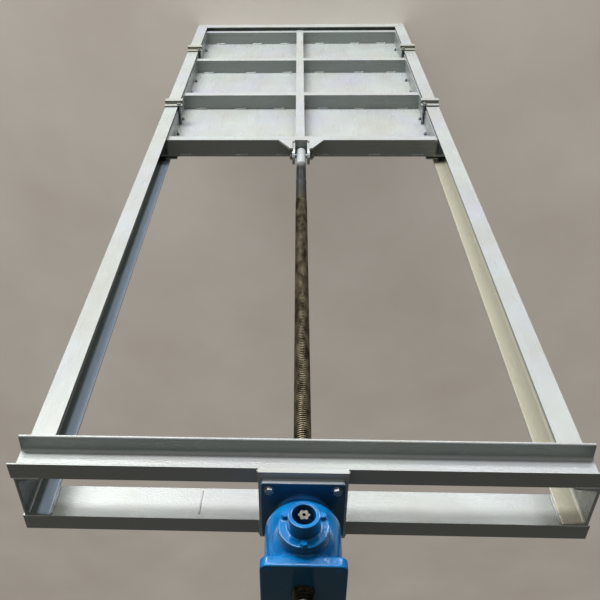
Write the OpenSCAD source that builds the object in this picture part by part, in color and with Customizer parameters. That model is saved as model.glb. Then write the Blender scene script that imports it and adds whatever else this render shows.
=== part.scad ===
// Steel sluice gate: a welded channel frame, a ribbed leaf that slides in it,
// a rising screw stem and a bevel gear hoist on the head.
// Millimetres, upright, front towards -Y. The origin is the centre of the sill's underside.

/* [Frame] */
// Width over the two posts
frame_w = 1400; // [1300:10:1800]
// Height of the posts
frame_h = 4000; // [3900:20:5000]
// Depth of the frame channel, front to back
frame_depth = 140; // [136:1:160]
// Flange width of the frame channel
frame_flange = 64; // [60:1:68]
// Web thickness of the frame channel
frame_web_t = 8; // [7:0.5:9]
// Mean flange thickness of the frame channel
frame_flange_t = 9.5; // [8:0.5:10.5]

/* [Head] */
// Height of each head channel
head_h = 96; // [80:2:126]
// Flange width of the head channels
head_flange = 50; // [44:1:60]
// Web thickness of the head channels
head_web_t = 5.3; // [4.5:0.1:7]
// Mean flange thickness of the head channels
head_flange_t = 8.5; // [7:0.5:10]
// Reach of the head channels past each post
head_overhang = 6; // [0:1:20]
// Width of the mounting plate
plate_w = 213; // [208:1:260]
// Thickness of the mounting plate
plate_t = 12; // [8:1:20]
// Gap round the stem in the mounting plate
plate_stem_gap = 6; // [5:1:12]

/* [Leaf] */
// Setback of the leaf's front behind the posts' front
leaf_setback = 20; // [18:1:22]
// Gap between the leaf's side plates and the posts' webs
leaf_side_gap = 51; // [48:0.5:56]
// Depth of the rib channel
rib_depth = 76; // [70:1:78]
// Flange width of the rib channel
rib_flange = 43; // [36:1:46]
// Web thickness of the rib channel
rib_web_t = 5; // [4:0.5:7]
// Mean flange thickness of the rib channel
rib_flange_t = 8; // [6:0.5:9]
// Height of the lowest rib's top face above the sill's underside
first_rib_z = 122; // [120:1:140]
// Distance between the ribs
rib_pitch = 600; // [560:5:610]
// Offset of the middle channel's web from the centre line
middle_web_x = 17; // [8:1:24]
// Thickness of the skin plate
skin_t = 8; // [6:0.5:9]
// Gap between the skin's edges and the posts' webs
skin_edge_gap = 7.5; // [5:0.5:12]
// Height of the skin's bottom edge above the sill's underside
skin_bottom_z = 20; // [18:1:26]
// Thickness of the side plates
side_plate_t = 6; // [4:0.5:8]
// Height of the side plates' feet above the skin's bottom edge
stiffener_foot = 50; // [40:1:60]

/* [Lug] */
// Distance between the two lugs
lug_gap = 57; // [52:1:62]
// Thickness of each lug
lug_t = 12; // [8:1:14]
// Height of the lugs above the top rib
lug_h = 118; // [112:1:130]
// Thickness of the gusset plates
gusset_t = 10; // [6:1:12]
// Height of the gusset plates
gusset_h = 93; // [80:1:100]
// Width over the gussets at their foot
gusset_foot_w = 212; // [180:2:240]
// Width over the gussets at their top
gusset_top_w = 103; // [96:1:120]
// Diameter of the stem pin
pin_d = 20; // [16:1:22]
// Height of the stem pin above the top rib
pin_rise = 70; // [60:1:76]

/* [Stem] */
// Outer diameter of the stem's screw
screw_d = 48; // [44:0.5:50]
// Diameter of the stem's plain shank
shank_d = 46; // [40:0.5:46]
// Gap under the stem's rounded foot
stem_foot_gap = 14; // [5:1:16]
// Length of the plain shank above the top rib
shank_h = 464; // [200:2:600]
// Reach of the stem above the mounting plate
stem_reach = 330; // [300:5:600]
// Gap between the stem and its bore in the hoist
stem_bore_gap = 1; // [0.5:0.1:2]

/* [Seals] */
// Running gap between the rubber and the steel it seals on
seal_gap = 0.8; // [0.4:0.1:1.5]
// Distance of the round seal's centre from the post's outer face
seal_inset = 35; // [33:1:38]
// Thickness of the seal's flat tail
tail_t = 8; // [6:0.5:10]
// Width of the clamped tail and its clamp bar
clamp_w = 54; // [40:1:60]
// Thickness of the clamp bars
clamp_t = 6; // [4:0.5:8]
// Diameter of the hollow in the round seal
seal_hollow_d = 11; // [6:1:16]
// Height of the bottom seal strip
bottom_seal_h = 30; // [24:1:34]
// Thickness of the bottom seal strip
bottom_seal_t = 12; // [8:1:16]

/* [Guide clips] */
// Length of a guide clip across the post
clip_len = 90; // [88:1:110]
// Depth of a clip, front to back
clip_h = 23; // [18:1:40]
// Length of a clip's two legs
clip_flange = 28; // [28:1:36]
// Thickness of a clip
clip_t = 5; // [3:0.5:6]
// Running gap between a clip and the post
clip_gap = 3; // [1:0.5:4]
// Height of the lower clips' upper face
lower_clip_z = 584; // [400:2:640]
// Height of the upper clips' upper face
upper_clip_z = 1522; // [1500:2:1560]
// Diameter of a clip bolt
clip_bolt_d = 12; // [10:1:12]
// Diameter of the sleeve under a clip
clip_sleeve_d = 16; // [15:1:18]
// Length of the sleeve under a clip
clip_sleeve_h = 42; // [30:1:60]
// Gap between the sleeve and the post's flange
clip_sleeve_gap = 1.5; // [1:0.5:5]
// Reach of a clip past its bolt, towards the leaf's middle
clip_lap = 14; // [12:1:16]
// Height of the foot on a clip bolt
clip_foot_h = 22; // [12:1:30]

/* [Hoist] */
// Side of the hoist's square base
base_w = 200; // [196:1:208]
// Thickness of the hoist's base
base_t = 16; // [12:1:22]
// Distance between the base bolts
base_bolt_pitch = 160; // [154:1:166]
// Diameter of the base bolt holes
base_hole_d = 17; // [14:1:18]
// Radius of the hoist's drum
drum_r = 89; // [84:1:91]
// Height of the drum between its base and its top flange
drum_h = 187; // [184:1:240]
// Side of the hoist's square top flange
top_w = 188; // [186:1:200]
// Thickness of the top flange
top_t = 15; // [12:1:24]
// Thickness of the top cover
cover_t = 12; // [8:1:18]
// Corner radius of the top flange and its cover
top_corner_r = 18; // [10:1:24]
// Height of the input shaft above the hoist's base
input_rise = 147; // [140:1:155]
// Radius of the input boss
boss_r = 56; // [54:1:60]
// Distance of the boss's face from the stem's axis
boss_reach = 106; // [100:1:120]
// Thickness of the input cover's flange
input_flange_t = 12; // [8:1:16]
// Outer radius of the input cover's hub
hub_r = 35.5; // [31:0.5:37]
// Length of the input cover's hub
hub_len = 40; // [36:1:60]
// Radius of the hub's mouth
hub_mouth_r = 25.5; // [23:0.5:26.5]
// Depth of the hub's mouth
hub_mouth_depth = 42; // [36:1:46]

/* [Input shaft] */
// Diameter over the shaft's six splines
spline_d = 26; // [24:0.5:28]
// Diameter of the round shaft behind the splines
journal_d = 28; // [26:0.5:30]
// Length of the round shaft
journal_len = 60; // [40:1:64]
// Gap round the shaft in its bore
journal_gap = 0.1; // [0.05:0.01:0.1]
// Setback of the shaft's end inside the hub
shaft_setback = 1; // [0:1:16]
// Diameter of the centre hole in the shaft's end
centre_hole_d = 8; // [5:0.5:9]

/* [Hidden] */
$fn = 64;

// Rolled flanges are thinner at the toe: one in ten
taper = 0.1;
// Flats in a rolled section's root or toe
arc_steps = 8;
front_y = -frame_depth / 2;
back_y = frame_depth / 2;
post_x = frame_w / 2;
post_edge_x = post_x - frame_flange;
head_z = frame_h - head_h;
plate_top_z = frame_h + plate_t;

leaf_front_y = front_y + leaf_setback;
stiffener_z = skin_bottom_z + stiffener_foot;
skin_front_y = leaf_front_y + rib_depth;
skin_back_y = skin_front_y + skin_t;
rib_z = [for (i = [0 : 3]) first_rib_z + i * rib_pitch];
leaf_top_z = rib_z[3];
side_x = post_x - frame_web_t - leaf_side_gap - side_plate_t;
skin_half_w = post_x - frame_web_t - skin_edge_gap;

lug_in_x = lug_gap / 2;
lug_out_x = lug_in_x + lug_t;
pin_z = leaf_top_z + pin_rise;
pin_head_h = 12.5;
pin_nut_h = 16;
pin_flats = 30;
pin_gap = 0.1;
stem_foot_z = leaf_top_z + stem_foot_gap;
screw_z = leaf_top_z + shank_h;
stem_top_z = plate_top_z + stem_reach;

seal_x = post_x - seal_inset;
seal_face_y = back_y - flange_at(frame_flange_t, frame_flange, seal_inset);
seal_r = (seal_face_y - skin_back_y - seal_gap) / 2;
seal_y = skin_back_y + seal_r;
seal_bottom_z = frame_web_t + seal_gap;
side_seal_z = seal_bottom_z + bottom_seal_h;
clamp_x = seal_x - seal_r - 1;

clip_x = post_edge_x - clip_sleeve_gap - clip_sleeve_d / 2;
clip_in_x = clip_x - clip_lap;
clip_seat_y = front_y - clip_gap;
clip_nut_h = 10;
clip_nut_flats = 18;
clip_tip = 4;
clip_bolt_rise = clip_flange - clip_nut_flats / 2 - 2;

base_z = plate_top_z;
drum_z = base_z + base_t;
top_z = drum_z + drum_h;
cover_z = top_z + top_t;
input_z = base_z + input_rise;
stem_bore_r = screw_d / 2 + stem_bore_gap;
hub_tip_y = -boss_reach - input_flange_t - hub_len;
journal_bore_r = journal_d / 2 + journal_gap;
shaft_tip_y = hub_tip_y + shaft_setback;
spline_len = hub_mouth_depth - shaft_setback;

frame_paint = [0.80, 0.83, 0.82];
hoist_paint = [0.09, 0.42, 0.75];
zinc = [0.75, 0.76, 0.76];
bare_steel = [0.45, 0.42, 0.36];
rubber = [0.08, 0.08, 0.08];

// Flange thickness at a distance from the web's outer face
function flange_at(t, width, x) = t + (width / 2 - x) * taper;

// Points on an arc round centre, from one angle to another
function arc(centre, r, from, to) = [for (i = [0 : arc_steps])
    let (a = from + (to - from) * i / arc_steps) centre + r * [cos(a), sin(a)]];

// Section of a hot-rolled channel: web along Y at x = 0, flanges towards +X,
// with rounded roots and toes
module channel_section(h, width, web_t, flange_t) {
    root_r = flange_t;
    toe_r = flange_t / 2;
    lean = atan(taper);
    half_h = h / 2;
    root_x = web_t + root_r;
    root_y = half_h - flange_at(flange_t, width, root_x) - root_r / cos(lean);
    toe_x = width - toe_r;
    toe_y = half_h - flange_at(flange_t, width, toe_x) + toe_r / cos(lean);
    upper = concat([[0, half_h], [width, half_h]],
        arc([toe_x, toe_y], toe_r, 0, lean - 90), arc([root_x, root_y], root_r, lean + 90, 180));
    lower = [for (i = [len(upper) - 1 : -1 : 0]) [upper[i].x, -upper[i].y]];
    polygon(concat(upper, lower));
}

// Square plate with rounded corners, standing on z = 0
module round_plate(width, depth, t, r) {
    linear_extrude(t) {
        square([width - 2 * r, depth], center = true);
        square([width, depth - 2 * r], center = true);
        for (x = [-1, 1], y = [-1, 1])
            translate([x * (width / 2 - r), y * (depth / 2 - r)]) circle(r);
    }
}

// Hexagon head or nut, standing on z = 0
module hexagon(flats, h) {
    cylinder(d = flats / cos(30), h = h, $fn = 6);
}

// Everything on the far side of the mitre between a post and the sill
module mitre(keep_post) {
    reach = 2 * frame_flange;
    translate([post_x, 0, 0])
        rotate([90, 0, 0])
        linear_extrude(frame_depth + 10, center = true)
        polygon(keep_post
            ? [[1, -1], [-reach, reach], [-reach, -reach], [1, -reach]]
            : [[0, 0], [-reach, reach], [reach, reach], [reach, 0]]);
}

module post() {
    color(frame_paint)
    difference() {
        translate([post_x, 0, 0])
            linear_extrude(frame_h)
            mirror([1, 0])
            channel_section(frame_depth, frame_flange, frame_web_t, frame_flange_t);
        mitre(true);
    }
}

module sill() {
    color(frame_paint)
    difference() {
        translate([-post_x, 0, 0])
            rotate([90, 0, 90])
            linear_extrude(frame_w)
            rotate(90)
            channel_section(frame_depth, frame_flange, frame_web_t, frame_flange_t);
        for (side = [0, 1]) mirror([side, 0]) mitre(false);
    }
}

// A head channel lies with its web flat on the posts, and its flanges point away from them
module head_channel() {
    half_w = post_x + head_overhang;
    color(frame_paint)
    translate([-half_w, back_y, frame_h - head_h / 2])
        rotate([90, 0, 90])
        linear_extrude(2 * half_w)
        channel_section(head_h, head_flange, head_web_t, head_flange_t);
}

module mounting_plate() {
    color(frame_paint)
    difference() {
        translate([-plate_w / 2, front_y - head_flange, frame_h])
            cube([plate_w, frame_depth + 2 * head_flange, plate_t]);
        translate([0, 0, frame_h - 1])
            cylinder(r = screw_d / 2 + plate_stem_gap, h = plate_t + 2);
        base_bolt_holes(frame_h - 1, plate_t + 2);
    }
}

module base_bolt_holes(z, h) {
    for (x = [-1, 1], y = [-1, 1])
        translate([x * base_bolt_pitch / 2, y * base_bolt_pitch / 2, z])
            cylinder(d = base_hole_d, h = h);
}

// Cast housing: base, waisted drum, shoulder, top flange and the boss of the input shaft
module hoist_housing() {
    fillet_r = base_w / 2 - drum_r - 1;
    shoulder = 10;
    color(hoist_paint)
    difference() {
        union() {
            translate([0, 0, base_z]) round_plate(base_w, base_w, base_t, 8);
            translate([0, 0, drum_z]) rotate_extrude() {
                difference() {
                    square([drum_r + fillet_r, drum_h]);
                    translate([drum_r + fillet_r, fillet_r]) circle(fillet_r);
                    translate([drum_r, fillet_r]) square([fillet_r + 1, drum_h]);
                }
                translate([0, drum_h - shoulder]) square([drum_r + 4, shoulder]);
            }
            translate([0, 0, top_z]) round_plate(top_w, top_w, top_t, top_corner_r);
            translate([0, 0, input_z]) rotate([90, 0, 0]) cylinder(r = boss_r, h = boss_reach);
            translate([0, -drum_r + 22, input_z]) rotate([90, 0, 0])
                cylinder(r1 = boss_r + 14, r2 = boss_r, h = 24);
        }
        translate([0, 0, base_z - 1]) cylinder(r = stem_bore_r, h = base_t + drum_h + top_t + 2);
        base_bolt_holes(base_z - 1, base_t + 2);
        translate([0, 0, input_z]) rotate([90, 0, 0])
            translate([0, 0, stem_bore_r + 10]) cylinder(r = journal_bore_r, h = boss_reach);
    }
}

module hoist_top_cover() {
    color(hoist_paint)
    difference() {
        translate([0, 0, cover_z]) round_plate(top_w, top_w, cover_t, top_corner_r);
        translate([0, 0, cover_z - 1]) cylinder(r = stem_bore_r, h = cover_t + 2);
    }
}

module input_cover() {
    ear_r = 9;
    bolt_ring_r = boss_r - ear_r + 1;
    color(hoist_paint)
    translate([0, -boss_reach, input_z]) rotate([90, 0, 0])
    difference() {
        union() {
            cylinder(r = boss_r, h = input_flange_t);
            cylinder(r = hub_r, h = input_flange_t + hub_len);
            for (a = [90, 210, 330]) rotate(a) translate([bolt_ring_r, 0, 0])
                cylinder(r = ear_r, h = input_flange_t + 2);
        }
        translate([0, 0, -1]) cylinder(r = journal_bore_r, h = input_flange_t + hub_len);
        translate([0, 0, input_flange_t + hub_len - hub_mouth_depth])
            cylinder(r = hub_mouth_r, h = hub_mouth_depth + 1);
    }
}

// Six round splines on a round shaft, with a centre hole
module input_shaft() {
    spline_r = 4;
    color(zinc)
    translate([0, shaft_tip_y, input_z]) rotate([-90, 0, 0])
    difference() {
        union() {
            cylinder(d = spline_d - 1.2 * spline_r, h = spline_len);
            for (i = [0 : 5]) rotate(i * 60) translate([spline_d / 2 - spline_r, 0, 0])
                cylinder(r = spline_r, h = spline_len);
            translate([0, 0, spline_len]) cylinder(d = journal_d, h = journal_len);
        }
        translate([0, 0, -1]) cylinder(d = centre_hole_d, h = 21);
    }
}

module skin_plate() {
    color(frame_paint)
    translate([-skin_half_w, skin_front_y, skin_bottom_z])
        cube([2 * skin_half_w, skin_t, leaf_top_z - skin_bottom_z]);
}

// The ribs' web is on top, and their flanges point down
module rib(from_x, to_x, z) {
    color(frame_paint)
    translate([from_x, leaf_front_y + rib_depth / 2, z])
        rotate([90, 0, 90])
        linear_extrude(to_x - from_x)
        rotate(-90)
        channel_section(rib_depth, rib_flange, rib_web_t, rib_flange_t);
}

module left_rib(i) {
    rib(rib_flange - middle_web_x, side_x, rib_z[i]);
}

// The top one runs on over the end of the middle channel
module right_rib(i) {
    to_x = i == 3 ? rib_flange - middle_web_x : -middle_web_x;
    rib(-side_x, to_x, rib_z[i]);
}

module middle_channel() {
    color(frame_paint)
    translate([-middle_web_x, leaf_front_y + rib_depth / 2, stiffener_z])
        linear_extrude(leaf_top_z - rib_flange - stiffener_z)
        channel_section(rib_depth, rib_flange, rib_web_t, rib_flange_t);
}

module side_plate() {
    color(frame_paint)
    translate([side_x, leaf_front_y, stiffener_z])
        cube([side_plate_t, rib_depth, leaf_top_z - stiffener_z]);
}

module gusset() {
    color(frame_paint)
    translate([0, leaf_front_y + gusset_t, leaf_top_z])
        rotate([90, 0, 0])
        linear_extrude(gusset_t)
        polygon([[lug_out_x, 0], [gusset_foot_w / 2, 0], [gusset_top_w / 2, gusset_h], [lug_out_x, gusset_h]]);
}

// Upright plate with a round nose, which leans back from the gusset to the nose
module lug() {
    front = leaf_front_y + gusset_t;
    nose_r = skin_back_y;
    nose_z = lug_h - nose_r;
    lean = 60;
    shoulder_z = nose_z + nose_r * cos(lean) + (front + nose_r * sin(lean)) * tan(lean);
    outline = concat([[front, 0], [skin_back_y, 0]], arc([0, nose_z], nose_r, 0, 90 + lean), [[front, shoulder_z]]);
    color(frame_paint)
    difference() {
        translate([lug_in_x, 0, leaf_top_z])
            rotate([90, 0, 90])
            linear_extrude(lug_t)
            polygon(outline);
        translate([lug_in_x - 1, 0, pin_z]) rotate([0, 90, 0])
            cylinder(r = pin_d / 2 + pin_gap, h = lug_t + 2);
    }
}

module stem_pin() {
    color(zinc)
    translate([-lug_out_x - pin_nut_h - 6, 0, pin_z]) rotate([0, 90, 0]) {
        cylinder(d = pin_d, h = 2 * lug_out_x + pin_nut_h + 6);
        translate([0, 0, 6]) hexagon(pin_flats, pin_nut_h);
        translate([0, 0, 2 * lug_out_x + pin_nut_h + 6]) hexagon(pin_flats, pin_head_h);
    }
}

// Plain shank with a rounded foot, and the screw at its outer diameter above it
module stem() {
    foot_r = shank_d / 2 - 6;
    color(bare_steel)
    difference() {
        union() {
            translate([0, 0, stem_foot_z]) rotate_extrude() {
                difference() {
                    square([shank_d / 2, screw_z - stem_foot_z]);
                    difference() {
                        square([shank_d / 2 + 1, foot_r]);
                        translate([shank_d / 2 - foot_r, foot_r]) circle(foot_r);
                        square([shank_d / 2 - foot_r, foot_r]);
                    }
                }
            }
            translate([0, 0, screw_z]) cylinder(d = screw_d, h = stem_top_z - screw_z);
        }
        translate([-screw_d, 0, pin_z]) rotate([0, 90, 0])
            cylinder(r = pin_d / 2 + pin_gap, h = 2 * screw_d);
    }
}

// Hollow round rubber with a flat tail, clamped behind the skin
module side_seal() {
    color(rubber)
    translate([0, 0, side_seal_z])
        linear_extrude(leaf_top_z - side_seal_z)
        difference() {
            union() {
                translate([seal_x, seal_y]) circle(seal_r);
                translate([clamp_x - clamp_w, skin_back_y]) square([seal_x - clamp_x + clamp_w, tail_t]);
            }
            translate([seal_x, seal_y]) circle(d = seal_hollow_d);
        }
}

module side_clamp_bar() {
    color(frame_paint)
    translate([clamp_x - clamp_w, skin_back_y + tail_t, side_seal_z + 4])
        cube([clamp_w, clamp_t, leaf_top_z - side_seal_z - 4]);
}

module bottom_seal() {
    color(rubber)
    translate([-skin_half_w, skin_back_y, seal_bottom_z])
        cube([2 * skin_half_w, bottom_seal_t, bottom_seal_h]);
}

module bottom_clamp_bar() {
    color(frame_paint)
    translate([-skin_half_w + 10, skin_back_y + bottom_seal_t, seal_bottom_z + 6])
        cube([2 * skin_half_w - 20, clamp_t, bottom_seal_h - 6]);
}

// Plate bent twice, in a Z: the back leg carries the bolt and slides along the post's front
module clip(z) {
    bend_r = 3;
    section = concat(
        [[-clip_h, -clip_flange], [clip_t - clip_h, -clip_flange], [clip_t - clip_h, -clip_t]],
        arc([-bend_r, bend_r - clip_t], bend_r, -90, 0),
        [[0, clip_flange], [-clip_t, clip_flange], [-clip_t, 0]],
        arc([bend_r - clip_h, -bend_r], bend_r, 90, 180));
    color(frame_paint)
    difference() {
        translate([clip_in_x, clip_seat_y, z])
            rotate([90, 0, 90])
            linear_extrude(clip_len)
            polygon(section);
        translate([clip_x, clip_seat_y + 1, z + clip_bolt_rise]) rotate([90, 0, 0])
            cylinder(r = clip_bolt_d / 2 + 0.5, h = clip_t + 2);
    }
}

// The bolt runs from the clip's back leg to a foot on the skin, with a sleeve under the clip
module clip_bolt(z) {
    seat_y = clip_seat_y - clip_t;
    color(zinc)
    translate([clip_x, 0, z + clip_bolt_rise]) rotate([90, 0, 0]) {
        translate([0, 0, -skin_front_y])
            cylinder(d = clip_bolt_d, h = skin_front_y - seat_y + clip_nut_h + clip_tip);
        translate([0, 0, -skin_front_y]) cylinder(d = clip_sleeve_d, h = clip_foot_h);
        translate([0, 0, -clip_seat_y - clip_sleeve_h]) cylinder(d = clip_sleeve_d, h = clip_sleeve_h);
        translate([0, 0, -seat_y]) hexagon(clip_nut_flats, clip_nut_h);
    }
}

module clip_bolts() {
    for (z = [lower_clip_z, upper_clip_z]) {
        clip_bolt(z);
        mirror([1, 0]) clip_bolt(z);
    }
}

post();  // left_post
mirror([1, 0]) post();  // right_post
sill();
mirror([0, 1]) head_channel();  // front_head_channel
head_channel();  // back_head_channel
mounting_plate();
hoist_housing();
hoist_top_cover();
input_cover();
input_shaft();
skin_plate();
middle_channel();
left_rib(0);  // left_rib_1
left_rib(1);  // left_rib_2
left_rib(2);  // left_rib_3
left_rib(3);  // left_rib_4
right_rib(0);  // right_rib_1
right_rib(1);  // right_rib_2
right_rib(2);  // right_rib_3
right_rib(3);  // right_rib_4
side_plate();  // left_side_plate
mirror([1, 0]) side_plate();  // right_side_plate
gusset();  // left_gusset
mirror([1, 0]) gusset();  // right_gusset
lug();  // left_lug
mirror([1, 0]) lug();  // right_lug
stem_pin();
stem();
side_seal();  // left_seal
mirror([1, 0]) side_seal();  // right_seal
side_clamp_bar();  // left_clamp_bar
mirror([1, 0]) side_clamp_bar();  // right_clamp_bar
bottom_seal();
bottom_clamp_bar();
clip(lower_clip_z);  // lower_left_clip
mirror([1, 0]) clip(lower_clip_z);  // lower_right_clip
clip(upper_clip_z);  // upper_left_clip
mirror([1, 0]) clip(upper_clip_z);  // upper_right_clip
clip_bolts();
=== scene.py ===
# %% [markdown]
# A small steel sluice gate, as it leaves a welding shop: a frame of rolled channels, a ribbed leaf
# that slides in it, a screw stem, and a blue bevel gear hoist on the head. The solids come from CAD
# and stay as they are. This file gives them finishes, adds what a CAD model leaves out, and sets up
# the camera, the floor and the lights.

# %% Load the frame
import math
import random

import bmesh
import bpy
from mathutils import Matrix, Vector, noise


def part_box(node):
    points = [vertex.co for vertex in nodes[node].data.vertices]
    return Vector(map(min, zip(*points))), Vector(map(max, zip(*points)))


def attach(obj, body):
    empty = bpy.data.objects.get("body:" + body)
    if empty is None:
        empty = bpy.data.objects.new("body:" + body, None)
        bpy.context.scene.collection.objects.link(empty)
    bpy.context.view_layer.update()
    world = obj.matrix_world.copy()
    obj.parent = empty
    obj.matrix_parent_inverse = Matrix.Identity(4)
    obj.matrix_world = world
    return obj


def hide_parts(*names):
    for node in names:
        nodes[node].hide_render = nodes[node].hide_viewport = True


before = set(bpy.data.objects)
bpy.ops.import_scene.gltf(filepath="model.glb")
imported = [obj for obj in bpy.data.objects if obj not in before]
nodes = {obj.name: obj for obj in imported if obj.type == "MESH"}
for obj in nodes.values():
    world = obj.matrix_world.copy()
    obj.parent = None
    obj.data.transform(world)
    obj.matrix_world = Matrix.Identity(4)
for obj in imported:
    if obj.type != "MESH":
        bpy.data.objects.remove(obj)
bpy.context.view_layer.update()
MM = 0.001
X, Y, Z = Vector((1, 0, 0)), Vector((0, 1, 0)), Vector((0, 0, 1))
BOTH_SIDES = (1, -1)
print("CAD solids:", len(nodes))

# %% [markdown]
# The camera stands behind the gate's head and looks down along it. The two posts, the head's edges
# and the ribs fix its place and its lens. Its sideways shift says that the picture was cut from a
# wider one. Here the gate stands upright, so the same camera hangs above it and looks down.

# %% The camera
PICTURE_PX = 600
SENSOR_MM = 36
FOCAL_PX = 726.2
SHIFT_PX = 31.8
CAMERA_AT = Vector((0.0231, -1.4311, 5.1545))
TILT, YAW, ROLL = math.radians(35.57), math.radians(2.11), math.radians(-0.46)

look = Vector((0, math.sin(TILT), -math.cos(TILT)))
up = Vector((0, -math.cos(TILT), -math.sin(TILT)))
look.rotate(Matrix.Rotation(YAW, 3, up))
up.rotate(Matrix.Rotation(ROLL, 3, look))
right = look.cross(up)

camera = bpy.data.objects.new("camera", bpy.data.cameras.new("camera"))
bpy.context.collection.objects.link(camera)
camera.data.sensor_width = SENSOR_MM
camera.data.lens = FOCAL_PX / PICTURE_PX * SENSOR_MM
camera.data.shift_x = SHIFT_PX / PICTURE_PX
camera.matrix_world = Matrix.LocRotScale(CAMERA_AT, Matrix((right, up, -look)).transposed(), None)
bpy.context.scene.camera = camera
bpy.context.scene.view_settings.view_transform = "Standard"
print("lens in mm:", round(camera.data.lens, 1))

# %% [markdown]
# Every colour is written as a hex value, the way a colour picker shows it. Blender's sockets want
# linear light, so one function turns it over. A second small function adds a node, sets it up and
# links it. All materials below are built with these two, and start from a third that sets the
# shader's own numbers. The others are short chains of nodes that come up again and again: a ramp,
# a product, a speckle, the way a face is turned, a blend of two colours, and a stack of bumps.

# %% Colours and nodes
def linear(hex_colour):
    """Linear RGBA of an sRGB hex colour."""
    parts = [int(hex_colour[i : i + 2], 16) / 255 for i in (0, 2, 4)]
    return [c / 12.92 if c <= 0.04045 else ((c + 0.055) / 1.055) ** 2.4 for c in parts] + [1]


def add_node(tree, kind, inputs=None, **settings):
    """Adds a node. A value in inputs is set on its socket, and another node's output is linked."""
    made = tree.nodes.new(kind)
    for name, value in settings.items():
        setattr(made, name, value)
    for name, value in (inputs or {}).items():
        if isinstance(value, bpy.types.NodeSocket):
            tree.links.new(value, made.inputs[name])
        else:
            made.inputs[name].default_value = value
    return made


def new_material(name, metallic, roughness, **shader):
    """A material, its node tree, its shader, and the object's own coordinates for patterns."""
    material = bpy.data.materials.new(name)
    material.use_nodes = True
    tree = material.node_tree
    principled = tree.nodes["Principled BSDF"]
    principled.inputs["Metallic"].default_value = metallic
    principled.inputs["Roughness"].default_value = roughness
    for socket, value in shader.items():
        principled.inputs[socket.replace("_", " ")].default_value = value
    place = add_node(tree, "ShaderNodeTexCoord").outputs["Object"]
    return material, tree, principled, place


def ramp(tree, value, start, end, low=0, high=1):
    """low where value is at start, high where it is at end, and steady beyond them."""
    return add_node(tree, "ShaderNodeMapRange", {"Value": value, "From Min": start,
        "From Max": end, "To Min": low, "To Max": high}).outputs["Result"]


def product(tree, *factors):
    """All the factors multiplied."""
    total = factors[0]
    for factor in factors[1:]:
        total = add_node(
            tree, "ShaderNodeMath", {0: total, 1: factor}, operation="MULTIPLY").outputs[0]
    return total


def speckle(tree, place, size_mm, low, high, detail=4, stretch=(1, 1, 1)):
    """Soft patches of a real size: 0 up to the noise value low, 1 above high."""
    stretched = add_node(tree, "ShaderNodeMapping", {"Vector": place, "Scale": stretch})
    field = add_node(tree, "ShaderNodeTexNoise",
        {"Vector": stretched.outputs["Vector"], "Scale": 1 / (size_mm * MM), "Detail": detail})
    return ramp(tree, field.outputs["Fac"], low, high)


def turned_to(tree, axis, low, high, either_way=False):
    """0 where the face's direction along one axis is at low, 1 where it is at high."""
    way = add_node(tree, "ShaderNodeTexCoord").outputs["Normal"]
    part = add_node(tree, "ShaderNodeSeparateXYZ", {"Vector": way}).outputs[axis]
    if either_way:
        part = add_node(tree, "ShaderNodeMath", {0: part}, operation="ABSOLUTE").outputs[0]
    return ramp(tree, part, low, high)


def blend_colours(tree, factor, first, second):
    """Goes from the first colour to the second by factor. A colour is a hex value or an output."""
    mix = add_node(tree, "ShaderNodeMix", data_type="RGBA")
    for socket, value in (("Factor_Float", factor), ("A_Color", first), ("B_Color", second)):
        target = next(i for i in mix.inputs if i.identifier == socket)
        if isinstance(value, bpy.types.NodeSocket):
            tree.links.new(value, target)
        else:
            target.default_value = linear(value)
    return next(o for o in mix.outputs if o.identifier == "Result_Color")


def bumps(tree, principled, layers):
    """Stacks bump layers, each a height field with its real depth in millimetres."""
    normal = None
    for height, depth_mm in layers:
        bump = add_node(tree, "ShaderNodeBump", {"Height": height, "Distance": depth_mm * MM})
        if normal:
            tree.links.new(normal, bump.inputs["Normal"])
        normal = bump.outputs["Normal"]
    tree.links.new(normal, principled.inputs["Normal"])


# %% [markdown]
# The frame and the leaf are hot-rolled steel, sprayed with a light grey alkyd enamel. It is glossy
# enough to mirror the sky in soft streaks. Three things break that mirror up: orange peel, drawn
# here at 5 mm so that it shows, the slow waves of rolled plate, and dry overspray, which leaves
# dull patches that are longer along the bar than across it. Dust settles as a faint warmer tint.
# Faces that do not face front or back get a darker colour, which is painted shade: the light falls
# mostly from the front. The head's two channels were gone over with a brush, and are rougher: their
# sheen is ragged, and their painted shade is darker. The guide clips were painted apart, in a grey
# with more olive in it, and their painted shade is darker too.

# %% Grey enamel on rolled steel
PEEL_MM, PEEL_DEPTH, BRUSHED_DEPTH = 5, 0.05, 0.45
WAVE_MM, WAVE_DEPTH = 70, 0.12
DUST_MM = 160
TINT_MM = 420
OVERSPRAY_MM = 45
# The third colour is painted shade, for faces that do not face front or back.
CLEAN, COOL_TINT, SIDE_SHADE = "B2BAB8", "ADB0BC", "8A928F"
DUSTY_UPRIGHT, DUSTY_LEVEL = "A8ABA5", "A9ACA7"
ROLLED_UPRIGHT, ROLLED_ACROSS = (1, 1, 0.15), (0.15, 1, 1)


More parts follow.
